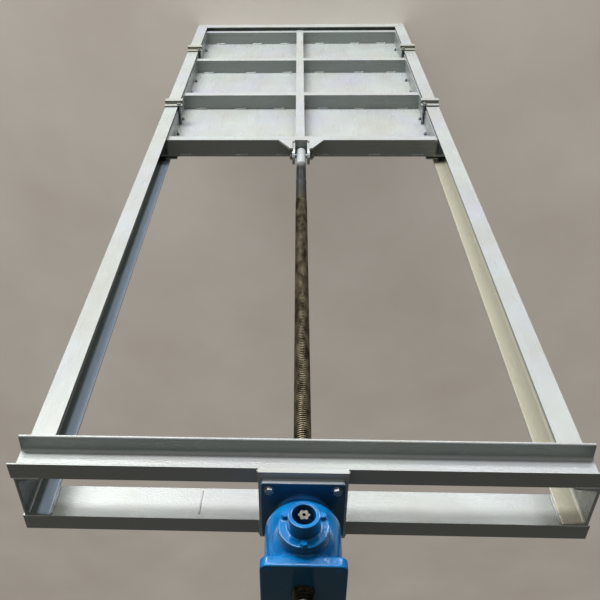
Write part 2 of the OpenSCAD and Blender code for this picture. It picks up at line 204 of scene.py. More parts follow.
def grey_enamel(name, dusty, along, clean=CLEAN, side_shade=SIDE_SHADE, peel_depth=PEEL_DEPTH):
    """along stretches the overspray and the waves in the direction the steel was rolled."""
    material, tree, principled, place = new_material(name, 0, 0.4, Specular_IOR_Level=0.7)
    cooler = speckle(tree, place, TINT_MM, 0.42, 0.66, 2)
    fresh = blend_colours(tree, cooler, clean, COOL_TINT)
    dust = speckle(tree, place, DUST_MM, 0.35, 0.8, 3)
    coat = blend_colours(tree, dust, fresh, dusty)
    # Painted shade: faces that do not face front or back blend to the darker shade colour.
    faces_front_or_back = turned_to(tree, "Y", 0.2, 0.8, either_way=True)
    tree.links.new(blend_colours(tree, faces_front_or_back, side_shade, coat), principled.inputs["Base Color"])
    overspray = speckle(tree, place, OVERSPRAY_MM, 0.3, 0.75, 3, along)
    tree.links.new(ramp(tree, overspray, 0, 1, 0.22, 0.38), principled.inputs["Roughness"])
    wave = speckle(tree, place, WAVE_MM, 0.2, 0.8, 2, along)
    peel = speckle(tree, place, PEEL_MM, 0.2, 0.8, 3)
    bumps(tree, principled, [(wave, WAVE_DEPTH), (peel, peel_depth)])
    return material


upright_enamel = grey_enamel("grey_enamel_upright", DUSTY_UPRIGHT, ROLLED_UPRIGHT)
level_enamel = grey_enamel("grey_enamel_level", DUSTY_LEVEL, ROLLED_ACROSS)
# The head's coat and the clips' coat carry a darker painted shade on their side faces.
brushed_enamel = grey_enamel(
    "grey_enamel_brushed", DUSTY_LEVEL, ROLLED_ACROSS, side_shade="787F7C", peel_depth=BRUSHED_DEPTH)
clip_enamel = grey_enamel("grey_enamel_clips", "A5A596", ROLLED_ACROSS, "B2B3A6", "65675A")
print("coats of grey enamel:", len(bpy.data.materials))

# %% [markdown]
# The posts are open channels, and light reaches into a groove unevenly. The studio light is plain,
# so the light and shade in the grooves are painted into the enamel. Along the web of the left post
# runs a painted shadow, cast by the front flange, and the floor of the groove beside it is painted
# a cooler, lighter grey, as cool light. On the right post the floor is painted warmer, as warm
# light from the model's left. Each post gets its own copy of the enamel, with masks made from its
# own lengths in millimetres.

# %% Enamel in the grooves of the posts
SHADOW_EDGE_X, WEB_X, FLANGE_Y = 667 * MM, 697 * MM, 69 * MM


def post_enamel(name, floor, root=None):
    """floor is painted light for the groove's floor. root is a painted shadow in the band beside
    the web, on the +X post.
    """
    material = grey_enamel(name, DUSTY_UPRIGHT, ROLLED_UPRIGHT)
    tree = material.node_tree
    colour = next(n for n in tree.nodes if n.type == "BSDF_PRINCIPLED").inputs["Base Color"]
    place = add_node(tree, "ShaderNodeTexCoord").outputs["Object"]
    spot = add_node(tree, "ShaderNodeSeparateXYZ", {"Vector": place}).outputs
    # Painted light on the groove's floor: the front face of the back flange.
    floor_light = product(tree, ramp(tree, spot["Y"], 0, 20 * MM), turned_to(tree, "Y", -0.2, -0.8))
    result = blend_colours(tree, floor_light, colour.links[0].from_socket, floor)
    if root:
        depth = add_node(tree, "ShaderNodeMath", {0: spot["Y"]}, operation="ABSOLUTE").outputs[0]
        # Painted shadow of the front flange, in a band beside the web.
        root_shadow = product(tree,
            ramp(tree, spot["X"], SHADOW_EDGE_X - 4 * MM, SHADOW_EDGE_X + 4 * MM),
            ramp(tree, spot["X"], WEB_X, WEB_X - 1 * MM),
            ramp(tree, depth, FLANGE_Y, FLANGE_Y - 1 * MM))
        result = blend_colours(tree, root_shadow, result, root)
    tree.links.new(result, colour)
    return material


# A painted shadow band and cool painted light on the left post; warm painted light on the right
# post.
left_post_enamel = post_enamel("grey_enamel_left_post", "B2C4DA", root="5C6765")
right_post_enamel = post_enamel("grey_enamel_right_post", "B9B6A4")
print("dark band starts", round((WEB_X - SHADOW_EDGE_X) / MM), "mm from the web")

# %% [markdown]
# The hoist is grey cast iron under two coats of azure gloss enamel. The sand mould leaves the iron
# slightly lumpy, and the thick paint runs over it, so highlights are sharp but their edges wander.
# In patches the paint is deeper and darker. Faces turned upwards get a darker, greyer blue, which
# is painted shade. The front face of the base, below its top, is coloured light grey.

# %% Azure enamel on cast iron
SAND_MM, SAND_DEPTH = 4, 0.04
LUMP_MM, LUMP_DEPTH = 24, 0.5
DEEP_MM = 40
BASE_FRONT_Y = -98 * MM
base_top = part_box("hoist_housing")[0].z + 16 * MM

blue_enamel, tree, principled, place = new_material(
    "azure_enamel_on_cast_iron", 0, 0.1, Specular_IOR_Level=0.28)
azure = blend_colours(tree, speckle(tree, place, DEEP_MM, 0.35, 0.7, 3), "0E80C8", "0962A4")
# Painted shade: faces turned upwards blend to a darker, greyer blue.
top_shaded = blend_colours(tree, turned_to(tree, "Z", 0.5, 0.95), azure, "204C68")
spot = add_node(tree, "ShaderNodeSeparateXYZ", {"Vector": place}).outputs
# The front face of the base, below its top, is coloured light grey.
below = ramp(tree, spot["Z"], base_top + 1 * MM, base_top - 2 * MM)
ahead = ramp(tree, spot["Y"], BASE_FRONT_Y + 1 * MM, BASE_FRONT_Y - 1 * MM)
painted = blend_colours(tree, product(tree, below, ahead), top_shaded, "A2A9AD")
tree.links.new(painted, principled.inputs["Base Color"])
bumps(tree, principled, [(speckle(tree, place, LUMP_MM, 0.2, 0.8, 2), LUMP_DEPTH),
    (speckle(tree, place, SAND_MM, 0.2, 0.8, 3), SAND_DEPTH)])
print("top of the hoist's base:", round(base_top, 3))

# %% [markdown]
# The screw is turned carbon steel, left bare. Lithium grease fills its grooves, which turns the
# steel a brown gold where light comes through the grease and nearly black where dust sticks to it.
# The plain shank below has only fine turning marks and is a cool grey. Grease has crept down it
# from the thread, and a mist of the leaf's paint has come up it from the foot.

# %% Greased screw
GREASE_MM, DUST_IN_GREASE_MM = 22, 3

greased_steel, tree, principled, place = new_material("greased_screw_steel", 0.8, 0.4)
grease = speckle(tree, place, GREASE_MM, 0.38, 0.62, 5, (1, 1, 0.4))
tree.links.new(blend_colours(tree, grease, "8A826E", "3F392E"), principled.inputs["Base Color"])
bumps(tree, principled, [(speckle(tree, place, DUST_IN_GREASE_MM, 0.3, 0.7, 3), 0.15)])
print(greased_steel.name, "patches of", GREASE_MM, "mm")

# %% Turned shank
STAIN_MM, TURNING_MM = 30, 0.5
FOOT_TOP_Z, MIST_TOP_Z, GREASE_LOW_Z, GREASE_HIGH_Z = 2.095, 2.15, 2.29, 2.42

turned_steel, tree, principled, place = new_material("turned_shank_steel", 0.9, 0.36)
stain = speckle(tree, place, STAIN_MM, 0.4, 0.75, 5, (1, 1, 0.5))
height = add_node(tree, "ShaderNodeSeparateXYZ", {"Vector": place}).outputs["Z"]
steel = blend_colours(tree, stain, "4F5155", "383939")
steel = blend_colours(tree, ramp(tree, height, GREASE_LOW_Z, GREASE_HIGH_Z), steel, "4C4A42")
steel = blend_colours(tree, ramp(tree, height, MIST_TOP_Z, FOOT_TOP_Z), steel, "B4B8BC")
tree.links.new(steel, principled.inputs["Base Color"])
bumps(tree, principled, [(speckle(tree, place, TURNING_MM, 0.2, 0.8, 2, (0.05, 0.05, 1)), 0.02)])
print("plain shank above the foot:", round(GREASE_LOW_Z - FOOT_TOP_Z, 3), "m")

# %% [markdown]
# Bolts, nuts and the stem pin are zinc plated: a bright grey metal with a faint cloudy bloom. The
# splined shaft was milled and then left, so it is a little warmer and rougher.

# %% Zinc plate and milled steel
CRYSTAL_MM = 1.5


def cloudy_metal(name, bright, dull, roughness, cloud_mm):
    """A bare metal whose two tones lie in clouds of a real size."""
    material, tree, principled, place = new_material(name, 0.9, roughness)
    cloud = speckle(tree, place, cloud_mm, 0.35, 0.7, 4)
    tree.links.new(blend_colours(tree, cloud, bright, dull), principled.inputs["Base Color"])
    bumps(tree, principled, [(speckle(tree, place, CRYSTAL_MM, 0.2, 0.8, 2), 0.03)])
    return material


zinc_plate = cloudy_metal("zinc_plated_steel", "9FA2A3", "74787A", 0.48, 9)
dark_zinc = cloudy_metal("weathered_zinc_steel", "7A7F84", "54585E", 0.45, 12)
milled_steel = cloudy_metal("milled_spline_steel", "605E58", "3E3C38", 0.45, 6)
print(zinc_plate.name, dark_zinc.name, milled_steel.name)

# %% [markdown]
# The seals are moulded EPDM rubber: black, dull, with a grey bloom of talc and very fine pits.

# %% Seal rubber
TALC_MM, PIT_MM = 35, 2

rubber, tree, principled, place = new_material("epdm_seal_rubber", 0, 0.62, Specular_IOR_Level=0.35)
talc = speckle(tree, place, TALC_MM, 0.5, 0.8, 6)
tree.links.new(blend_colours(tree, talc, "141414", "2B2C2B"), principled.inputs["Base Color"])
bumps(tree, principled, [(speckle(tree, place, PIT_MM, 0.3, 0.7, 2), 0.08)])
print(rubber.name, "pits of", PIT_MM, "mm")

# %% [markdown]
# Each CAD solid gets its finish by name. The ribs, the sill and the head channels lie level, and
# all other grey steel stands upright, so the marks of rolling run the right way on each.

# %% Finishes on the CAD solids
OWN_FINISH = {"stem": greased_steel, "stem_pin": zinc_plate, "clip_bolts": dark_zinc,
    "input_shaft": milled_steel, "left_post": left_post_enamel, "right_post": right_post_enamel,
    "hoist_housing": blue_enamel, "hoist_top_cover": blue_enamel, "input_cover": blue_enamel}
FINISH_BY_ENDING = {"_seal": rubber, "_clip": clip_enamel, "head_channel": brushed_enamel}
LEVEL = ("rib", "sill", "bottom_clamp_bar", "mounting_plate")
for name, solid in nodes.items():
    finish = level_enamel if any(word in name for word in LEVEL) else upright_enamel
    for ending, other in FINISH_BY_ENDING.items():
        if name.endswith(ending):
            finish = other
    solid.data.materials.clear()
    solid.data.materials.append(OWN_FINISH.get(name, finish))
print("solids with a finish of their own:", len(OWN_FINISH))

# %% [markdown]
# New pieces are made as by hand: a primitive is added, shaped in edit mode, and moved into place in
# its own mesh. These helpers start a piece, pick some of its faces or edges, cut it level, and turn
# its faces outwards.

# %% Helpers for shaping
def start(kind, **settings):
    """Adds one primitive, alone selected."""
    bpy.ops.object.select_all(action="DESELECT")
    getattr(bpy.ops.mesh, f"primitive_{kind}_add")(**settings)
    return bpy.context.object


def pick(piece, wanted, what="FACE"):
    """In edit mode, selects just the faces or edges for which wanted(middle, direction) holds."""
    if piece.mode != "EDIT":
        bpy.ops.object.mode_set(mode="EDIT")
    bpy.ops.mesh.select_mode(type=what)
    bpy.ops.mesh.select_all(action="DESELECT")
    shape = bmesh.from_edit_mesh(piece.data)
    shape.normal_update()
    for part in shape.faces if what == "FACE" else shape.edges:
        if what == "FACE":
            middle, direction = part.calc_center_median(), part.normal
        else:
            first, second = (corner.co for corner in part.verts)
            middle, direction = (first + second) / 2, (second - first).normalized()
        if wanted(middle, direction):
            part.select_set(True)
    bmesh.update_edit_mesh(piece.data)


def merge_doubles(distance=1e-6):
    """In edit mode, makes one corner of those that lie at the same place."""
    bpy.ops.mesh.select_all(action="SELECT")
    bpy.ops.mesh.remove_doubles(threshold=distance)


def cut_level(height, side):
    """In edit mode, cuts off what lies above height (side 1) or below (side -1), and closes it."""
    bpy.ops.mesh.select_all(action="SELECT")
    bpy.ops.mesh.bisect(plane_co=(0, 0, height), plane_no=(0, 0, side), clear_outer=True,
        use_fill=True, threshold=1e-6)


def face_outwards():
    """Turns all faces of a closed shape outwards, and leaves edit mode."""
    bpy.ops.mesh.select_all(action="SELECT")
    bpy.ops.mesh.normals_make_consistent(inside=False)
    bpy.ops.object.mode_set(mode="OBJECT")


def draw_line(points):
    """A chain of edges through the points, drawn by extruding its last vertex."""
    line = start("plane", size=1)
    bpy.ops.object.mode_set(mode="EDIT")
    bpy.ops.mesh.select_mode(type="VERT")
    bpy.ops.mesh.merge(type="CENTER")
    bpy.ops.transform.translate(value=points[0])
    for before, after in zip(points, points[1:]):
        bpy.ops.mesh.extrude_vertices_move(
            TRANSFORM_OT_translate={"value": Vector(after) - Vector(before)})
    return line


# %% [markdown]
# A piece that repeats is modelled once, and each copy gets its own mesh. Every finished piece has
# its place in its mesh, as the CAD solids have, and rides on the body that moves it.

# %% Helpers for placing
def select_only(piece):
    """Leaves edit mode, and selects just this piece."""
    if bpy.context.object and bpy.context.object.mode == "EDIT":
        bpy.ops.object.mode_set(mode="OBJECT")
    bpy.ops.object.select_all(action="DESELECT")
    piece.select_set(True)
    bpy.context.view_layer.objects.active = piece


def join(parts):
    """Makes one object of several."""
    select_only(parts[0])
    for part in parts:
        part.select_set(True)
    bpy.ops.object.join()
    return bpy.context.object


def stand(at, direction, turn=0.0):
    """The place of a piece whose own +Z is to point along direction, turned about it."""
    lean = Vector(direction).to_track_quat("Z", "Y").to_matrix().to_4x4()
    return Matrix.Translation(at) @ lean @ Matrix.Rotation(turn, 4, "Z")


def place_copies(master, places):
    """Copies a piece to each place, joins the copies, and removes the master."""
    select_only(master)
    bpy.ops.object.transform_apply(location=True, rotation=True, scale=True)
    copies = []
    for place_at in places:
        copy = bpy.data.objects.new("copy", master.data.copy())
        bpy.context.collection.objects.link(copy)
        copy.data.transform(place_at)
        copies.append(copy)
    bpy.data.objects.remove(master)
    return join(copies)


def finish_piece(piece, name, body, material, smooth_degrees=35):
    """Bakes the place into the mesh, names the piece, and gives it its finish and its body."""
    select_only(piece)
    bpy.ops.object.transform_apply(location=True, rotation=True, scale=True)
    bpy.ops.object.shade_smooth_by_angle(angle=math.radians(smooth_degrees))
    piece.name = piece.data.name = name
    piece.data.materials.clear()
    piece.data.materials.append(material)
    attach(piece, body)
    print(name, "triangles:", sum(len(face.vertices) - 2 for face in piece.data.polygons))
    return piece


# %% [markdown]
# The screw has a trapezoidal thread: a flat crest, a flat root and steep flanks. One groove is
# drawn as a line in the plane of the axis, and the Screw modifier winds it up the stem, one pitch a
# turn. A real thread this long could be faked with a bump, but it shows at the hoist, so it is
# wound for real. Its two ends are cut square and closed.

# %% The stem's thread
PITCH, THREAD_DEPTH, FLAT, THREAD_STEPS = 8 * MM, 4 * MM, 2.8 * MM, 24


def wind(groove, pitch, turns, steps, low, high):
    """Winds a groove, a list of radius and height, into a threaded rod from low to high."""
    rod = draw_line([(r, 0, z) for r, z in groove])
    bpy.ops.object.mode_set(mode="OBJECT")
    winding = rod.modifiers.new("winding", "SCREW")
    winding.axis, winding.screw_offset, winding.iterations = "Z", pitch, turns
    winding.steps = winding.render_steps = steps
    bpy.ops.object.modifier_apply(modifier="winding")
    bpy.ops.object.mode_set(mode="EDIT")
    merge_doubles()
    cut_level(low, -1)
    cut_level(high, 1)
    face_outwards()
    return rod


stem_low, stem_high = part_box("stem")
crest_r, root_r = stem_high.x, stem_high.x - THREAD_DEPTH
thread_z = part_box("right_rib_4")[1].z + 520 * MM
flank = PITCH / 2 - FLAT
low = thread_z - PITCH
groove = [(crest_r, low), (crest_r, low + FLAT), (root_r, low + FLAT + flank),
    (root_r, low + 2 * FLAT + flank), (crest_r, low + PITCH)]
turns = int((stem_high.z - thread_z) / PITCH) + 3
thread = wind(groove, PITCH, turns, THREAD_STEPS, thread_z, stem_high.z - 0.5 * MM)
finish_piece(thread, "stem_thread", "leaf", greased_steel, 30)

# %% [markdown]
# Below the thread the stem is a plain shank that has gone dark, with a ring of weld where an end
# was joined on. Its foot between the lugs is a turned sleeve with a round nose, and was sprayed
# with the leaf, so it is as light as the leaf. Half of each outline is drawn and spun round the
# axis.

# %% The stem's shank and foot
SHANK_R, NOSE_R, WELD_RING_Z = 23 * MM, 21 * MM, 2.27


def turned(outline, name, material):
    """Spins half an outline, a list of radius and height, round the stem's axis."""
    piece = draw_line([(r, 0, z) for r, z in outline])
    bpy.ops.mesh.select_all(action="SELECT")
    bpy.ops.mesh.spin(steps=48, angle=math.tau, center=(0, 0, 0), axis=(0, 0, 1))
    merge_doubles()
    face_outwards()
    return finish_piece(piece, name, "leaf", material, 40)


nose = [(0, stem_low.z)]
for step in range(9):
    turn = math.radians(90 * step / 8)
    nose.append((SHANK_R - NOSE_R + NOSE_R * math.sin(turn),
        stem_low.z + NOSE_R - NOSE_R * math.cos(turn)))
nose += [(SHANK_R, FOOT_TOP_Z - 2 * MM), (SHANK_R - 1 * MM, FOOT_TOP_Z), (0, FOOT_TOP_Z)]
foot = turned(nose, "stem_foot", upright_enamel)

shank_top = thread_z + 2 * MM
outline = [(0, FOOT_TOP_Z), (SHANK_R - 1 * MM, FOOT_TOP_Z)]
for rise, swell in ((-6, 0), (-4, 0.5), (-1.5, 0.9), (0, 0.5), (1.5, 0.9), (4, 0.5), (6, 0)):
    outline.append((SHANK_R + (swell - 0.6) * MM, WELD_RING_Z + rise * MM))
outline += [(SHANK_R, shank_top - 5 * MM), (SHANK_R - 1.5 * MM, shank_top), (0, shank_top)]
shank = turned(outline, "stem_shank", turned_steel)
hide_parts("stem")
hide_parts("stem")
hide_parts("stem")

# %% [markdown]
# The hoist's castings come from the CAD model with sharp edges, but a sand casting has none. A copy
# of each is merged, rebuilt as an even skin of small squares, and smoothed. That rounds the edges
# and fills the corners like the fillets of a real pattern, and leaves the flat faces flat. Joint
# faces are machined after casting, so a copy is first grown past them and then planed back, which
# leaves their edges crisp. The drum also gets the neck that the photo shows under its round
# shoulder: it is cut at a few heights, and its corners are moved to the neck's radius there.

# %% The neck of the drum
DRUM_R, FOOT_FILLET = 89 * MM, 10.2 * MM
NECK = [(0, 64), (6, 58), (14, 58), (20, 66), (28, 75), (37, 82.5), (46, 87), (56, 89)]
neck_rings = [(base_top + rise * MM, radius * MM) for rise, radius in NECK]
print("smallest radius of the neck in mm:", min(radius for _, radius in NECK))


def draw_in(casting, rings):
    """Moves the corners of the drum and its foot fillet to the radius that the rings give."""
    for corner in casting.data.vertices:
        span = corner.co.xy.length
        if not DRUM_R - 1 * MM < span < DRUM_R + FOOT_FILLET:
            continue
        for (low_z, low_r), (high_z, high_r) in zip(rings, rings[1:]):
            share = (corner.co.z - low_z) / (high_z - low_z)
            if -1e-3 < share < 1:
                corner.co.xy *= (low_r + share * (high_r - low_r)) / span
                break


# %% Castings
GROWTH = 12 * MM


def cast(node_name, grain, passes, planed, rings=()):
    """grain is the side of the skin's squares, passes says how far it is smoothed, planed holds
    the machined faces as 1 for the top and -1 for the bottom, and rings are cuts of the drum, a
    height and the radius it gets there."""
    low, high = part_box(node_name)
    casting = bpy.data.objects.new(node_name + "_casting", nodes[node_name].data.copy())
    bpy.context.collection.objects.link(casting)
    select_only(casting)
    bpy.ops.object.mode_set(mode="EDIT")
    merge_doubles(1e-5)
    for ring_z, _ in rings:
        bpy.ops.mesh.select_all(action="SELECT")
        bpy.ops.mesh.bisect(plane_co=(0, 0, ring_z), plane_no=(0, 0, 1), threshold=1e-6)
    for side in planed:
        face_z = high.z if side > 0 else low.z
        pick(casting, lambda middle, way: way.z * side > 0.9 and abs(middle.z - face_z) < 1e-4)
        bpy.ops.transform.translate(value=(0, 0, side * GROWTH))
    bpy.ops.object.mode_set(mode="OBJECT")
    draw_in(casting, rings)
    skin = casting.modifiers.new("skin", "REMESH")
    skin.mode, skin.voxel_size = "VOXEL", grain
    bpy.ops.object.modifier_apply(modifier="skin")
    smoothing = casting.modifiers.new("smoothing", "SMOOTH")
    smoothing.factor, smoothing.iterations = 0.5, passes
    bpy.ops.object.modifier_apply(modifier="smoothing")
    bpy.ops.object.mode_set(mode="EDIT")
    for side in planed:
        cut_level(high.z if side > 0 else low.z, side)
    finish_piece(casting, node_name + "_casting", "frame", blue_enamel, 60)
    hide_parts(node_name)


cast("hoist_housing", 2.5 * MM, 4, (1, -1), neck_rings)
cast("hoist_top_cover", 2.5 * MM, 3, (-1,))
cast("input_cover", 1.5 * MM, 4, ())

# %% [markdown]
# Every bolt and nut starts as a six-sided cylinder. Its top face is inset and lifted, which gives
# the chamfer that a real head has, and the washer and the bolt's tip are round parts with a broken
# edge. One function serves all sizes, and each copy is turned by its own angle, as no two bolts
# stop alike.

# %% Helpers for fasteners
dice = random.Random(11)


def round_part(radius, height, base=0.0, sides=24, edge=0.5 * MM):
    """A disc or pin that stands on base, with a broken upper edge."""
    part = start("cylinder", vertices=sides, radius=radius, depth=height - edge,
        location=(0, 0, base + (height - edge) / 2))
    pick(part, lambda middle, way: way.z > 0.9)
    bpy.ops.mesh.inset(thickness=edge)
    bpy.ops.transform.translate(value=(0, 0, edge))
    bpy.ops.object.mode_set(mode="OBJECT")
    return part


def fastener(flats, height, washer_r, washer_h=2 * MM, tip=0.0):
    """A hexagon head or nut on a washer, along +Z from zero. tip is the thread past a nut."""
    chamfer = flats * 0.05
    corner_r = flats / math.sqrt(3)
    hexagon = start("cylinder", vertices=6, radius=corner_r, depth=height - chamfer,
        location=(0, 0, washer_h + (height - chamfer) / 2))
    pick(hexagon, lambda middle, way: way.z > 0.9)
    bpy.ops.mesh.inset(thickness=flats * 0.08)
    bpy.ops.transform.translate(value=(0, 0, chamfer))
    bpy.ops.object.mode_set(mode="OBJECT")
    parts = [hexagon, round_part(washer_r, washer_h)]
    if tip:
        parts.append(round_part(flats * 0.32, tip, washer_h + height - 1 * MM, 16, 1 * MM))
    return join(parts)


def bolt_up(name, body, material, one, spots):
    """Copies a fastener to each spot, a point and the way it faces."""
    places = [stand(at, way, dice.uniform(0, math.tau)) for at, way in spots]
    return finish_piece(place_copies(one, places), name, body, material, 25)


# %% Fasteners of the hoist
BASE_BOLT_AT, COVER_SCREW_AT = 80 * MM, 77 * MM
SHAFT_R, EAR_FACE_Y, BOLT_RING_R = 14 * MM, -120 * MM, 48 * MM
SUNK = 0.5 * MM

corners = [(x, y) for x in BOTH_SIDES for y in BOTH_SIDES]
bolt_up("base_bolts", "frame", zinc_plate,
    fastener(19 * MM, 8 * MM, 12.5 * MM, 2.5 * MM),
    [((BASE_BOLT_AT * x, BASE_BOLT_AT * y, base_top), Z) for x, y in corners])

top_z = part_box("hoist_top_cover")[1].z
bolt_up("top_cover_screws", "frame", blue_enamel,
    fastener(8 * MM, 1.2 * MM, 8 * MM, 1.6 * MM),
    [((COVER_SCREW_AT * x, COVER_SCREW_AT * y, top_z - SUNK), Z) for x, y in corners])

input_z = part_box("input_shaft")[0].z + SHAFT_R
ring = [math.radians(angle) for angle in (90, 210, 330)]
bolt_up("input_cover_bolts", "frame", blue_enamel,
    fastener(14 * MM, 6.5 * MM, 9 * MM, 1.5 * MM),
    [((math.cos(a) * BOLT_RING_R, EAR_FACE_Y + SUNK, input_z + math.sin(a) * BOLT_RING_R), -Y)
        for a in ring])

# %% [markdown]
# Bolts through the skin clamp the rubber seals behind it. Their nuts show in front, between the
# ribs, and their heads sit on the clamp bars at the back. The stem hangs on one large bolt between
# the lugs, with a washer under its head and its nut.

# %% Bolts of the side seals
SEAL_PITCH = 200 * MM
SEAL_BOLT_X = 624 * MM
SEAL_BOLT_Z = [0.28, 0.48, 0.88, 1.08, 1.48, 1.68]

skin_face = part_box("skin_plate")[0].y
bar_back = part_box("left_clamp_bar")[1].y
spots = [(side * SEAL_BOLT_X, z) for side in BOTH_SIDES for z in SEAL_BOLT_Z]
bolt_up("seal_bolt_nuts", "leaf", dark_zinc,
    fastener(13 * MM, 7 * MM, 8.5 * MM, tip=6 * MM), [((x, skin_face, z), -Y) for x, z in spots])
bolt_up("seal_bolt_heads", "leaf", zinc_plate,
    fastener(16 * MM, 6.4 * MM, 10 * MM), [((x, bar_back, z), Y) for x, z in spots])

# %% The stem's bolt
PIN_R, PIN_FLATS, PIN_WASHER_R, PIN_WASHER_H = 10 * MM, 30 * MM, 20 * MM, 2.5 * MM

pin_low, pin_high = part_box("stem_pin")
pin_at = Vector((0, (pin_low.y + pin_high.y) / 2, (pin_low.z + pin_high.z) / 2))
lug_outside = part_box("left_lug")[1].x
pin = round_part(PIN_R, 2 * lug_outside, -lug_outside, 32)
pin_parts = [place_copies(pin, [stand(pin_at, X)])]
for way, height, tip in ((X, 10 * MM, 0), (-X, 13 * MM, 6 * MM)):
    end = fastener(PIN_FLATS, height, PIN_WASHER_R, PIN_WASHER_H, tip)
    pin_parts.append(place_copies(end, [stand(pin_at + lug_outside * way, way, 0.3)]))
pin_bolt = finish_piece(join(pin_parts), "stem_pin_bolt", "leaf", zinc_plate, 25)
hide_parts("stem_pin")

# %% Bolts of the bottom seal
BOTTOM_BOLT_Z = 30 * MM

bottom_bar_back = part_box("bottom_clamp_bar")[1].y
foot_spots = [x * SEAL_PITCH for x in range(-3, 4)]
bolt_up("bottom_seal_bolts", "leaf", dark_zinc,
    fastener(13 * MM, 6 * MM, 9 * MM, tip=6 * MM),
    [((x, skin_face, BOTTOM_BOLT_Z), -Y) for x in foot_spots])
bolt_up("bottom_seal_bolt_heads", "leaf", zinc_plate,
    round_part(8 * MM, 2.5 * MM, 0, 20, 1.2 * MM),
    [((x, bottom_bar_back, BOTTOM_BOLT_Z), Y) for x in foot_spots])

# %% [markdown]
# Each guide clip hangs on a threaded rod. The rod stands on the skin in a nut, a thick sleeve keeps
# it off the post's edge, and a bright nut on the clip's back leg sets the running gap. The CAD rod
# is plain, so all four are made anew. The thread is wound the same way as the stem's.

# %% Guide clip rods
ROD_R, ROD_PITCH, ROD_GROOVE, ROD_STEPS = 6 * MM, 1.75 * MM, 1 * MM, 12
SLEEVE_R, SLEEVE_LEN, FOOT_LEN = 8 * MM, 42 * MM, 22 * MM
CLIP_LEG_T, ROD_BELOW_TOP = 5 * MM, 11 * MM

rods_low, rods_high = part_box("clip_bolts")
rod_len = skin_face - rods_low.y
groove = [(ROD_R, -ROD_PITCH), (ROD_R - ROD_GROOVE, -ROD_PITCH / 2), (ROD_R, 0)]
rod = wind(groove, ROD_PITCH, int(rod_len / ROD_PITCH) + 2, ROD_STEPS, 0, rod_len)
clip_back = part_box("upper_left_clip")[1].y
sleeve_at = skin_face - clip_back - SLEEVE_LEN
rod = join([rod, round_part(SLEEVE_R, SLEEVE_LEN, sleeve_at, 24, 1 * MM),
    round_part(SLEEVE_R, FOOT_LEN, 0, 24, 1.5 * MM)])

clips = [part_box(name)[1] for name in ("lower_left_clip", "upper_left_clip")]
rod_x = rods_high.x - SLEEVE_R
spots = [(side * rod_x, clip.z - ROD_BELOW_TOP) for side in BOTH_SIDES for clip in clips]
clip_rods = bolt_up("clip_rods", "leaf", dark_zinc, rod,
    [((x, skin_face, z), -Y) for x, z in spots])
clip_nuts = bolt_up("clip_nuts", "leaf", zinc_plate,
    fastener(18 * MM, 9 * MM, 10 * MM, 1.5 * MM),
    [((x, clip_back - CLIP_LEG_T, z), -Y) for x, z in spots])
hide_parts("clip_bolts")
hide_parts("clip_bolts")

# %% [markdown]
# The side seals are a bulb with a flat tail, drawn from one rubber die, so the corners between bulb
# and tail are soft. The outline and the round hollow are drawn, filled and pulled out along the
# leaf. Between its bolts the clamped rubber swells a little, so the rings are moved by a wave with
# the bolts' pitch.

# %% Helpers for the seals
def arc_points(centre, radius, start_degrees, end_degrees, steps):
    """Points along an arc, both ends among them."""
    angles = [math.radians(start_degrees + (end_degrees - start_degrees) * i / steps)
        for i in range(steps + 1)]
    return [(centre[0] + radius * math.cos(a), centre[1] + radius * math.sin(a)) for a in angles]


def extrude_along(profiles, bottom, top, rings):
    """Fills the closed outlines, the second as a hole, and pulls them up from bottom to top."""
    loops = []
    for points in profiles:
        loop = draw_line([(x, y, bottom) for x, y in points + points[:1]])
        merge_doubles()
        bpy.ops.object.mode_set(mode="OBJECT")
        loops.append(loop)
    piece = join(loops)
    bpy.ops.object.mode_set(mode="EDIT")
    bpy.ops.mesh.select_all(action="SELECT")
    bpy.ops.mesh.fill(use_beauty=True)
    for _ in range(rings):
        bpy.ops.mesh.extrude_region_move(
            TRANSFORM_OT_translate={"value": (0, 0, (top - bottom) / rings)})
    face_outwards()
    return piece


# %% Side seals
SWELL, SEAL_RINGS = 0.35 * MM, 74
TAIL_T, HOLLOW_R, FILLET_R = 8 * MM, 5.5 * MM, 5 * MM

for side, name in ((1, "left_seal"), (-1, "right_seal")):
    low_corner, high_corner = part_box(name)
    outer = max(abs(low_corner.x), abs(high_corner.x))
    inner = min(abs(low_corner.x), abs(high_corner.x))
    bulb_r = (high_corner.y - low_corner.y) / 2 - SWELL
    centre = (outer - bulb_r - SWELL, low_corner.y + bulb_r + SWELL)
    tail_back = low_corner.y + TAIL_T
    meet = math.degrees(math.asin((tail_back + FILLET_R - centre[1]) / (bulb_r + FILLET_R)))
    reach = math.cos(math.radians(meet)) * (bulb_r + FILLET_R)
    outside = arc_points(centre, bulb_r, -90, 180 - meet, 20)
    outside += arc_points((centre[0] - reach, tail_back + FILLET_R), FILLET_R, -meet, -90, 5)[1:]
    outside += [(inner, tail_back - 1 * MM), (inner, low_corner.y + 1 * MM),
        (inner + 1 * MM, low_corner.y)]
    hollow = arc_points(centre, HOLLOW_R, 0, 345, 23)
    seal = extrude_along([[(side * x, y) for x, y in loop] for loop in (outside, hollow)],
        low_corner.z, high_corner.z, SEAL_RINGS)
    for corner in seal.data.vertices:
        offset = corner.co.xy - Vector((side * centre[0], centre[1]))
        if offset.length < bulb_r + 1 * MM:
            wave = math.cos(math.tau * (corner.co.z - SEAL_BOLT_Z[0]) / SEAL_PITCH)
            corner.co.xy += offset.normalized() * SWELL * -wave
    finish_piece(seal, name + "_rubber", "leaf", rubber, 40)
    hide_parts(name)

# %% [markdown]
# The bottom seal is a thick strip whose free edge is moulded round, so that it folds under the
# gate's weight. It starts as a plane the size of the strip's section.

# %% Bottom seal
STRIP_RINGS, STRIP_SAG = 68, 0.4 * MM

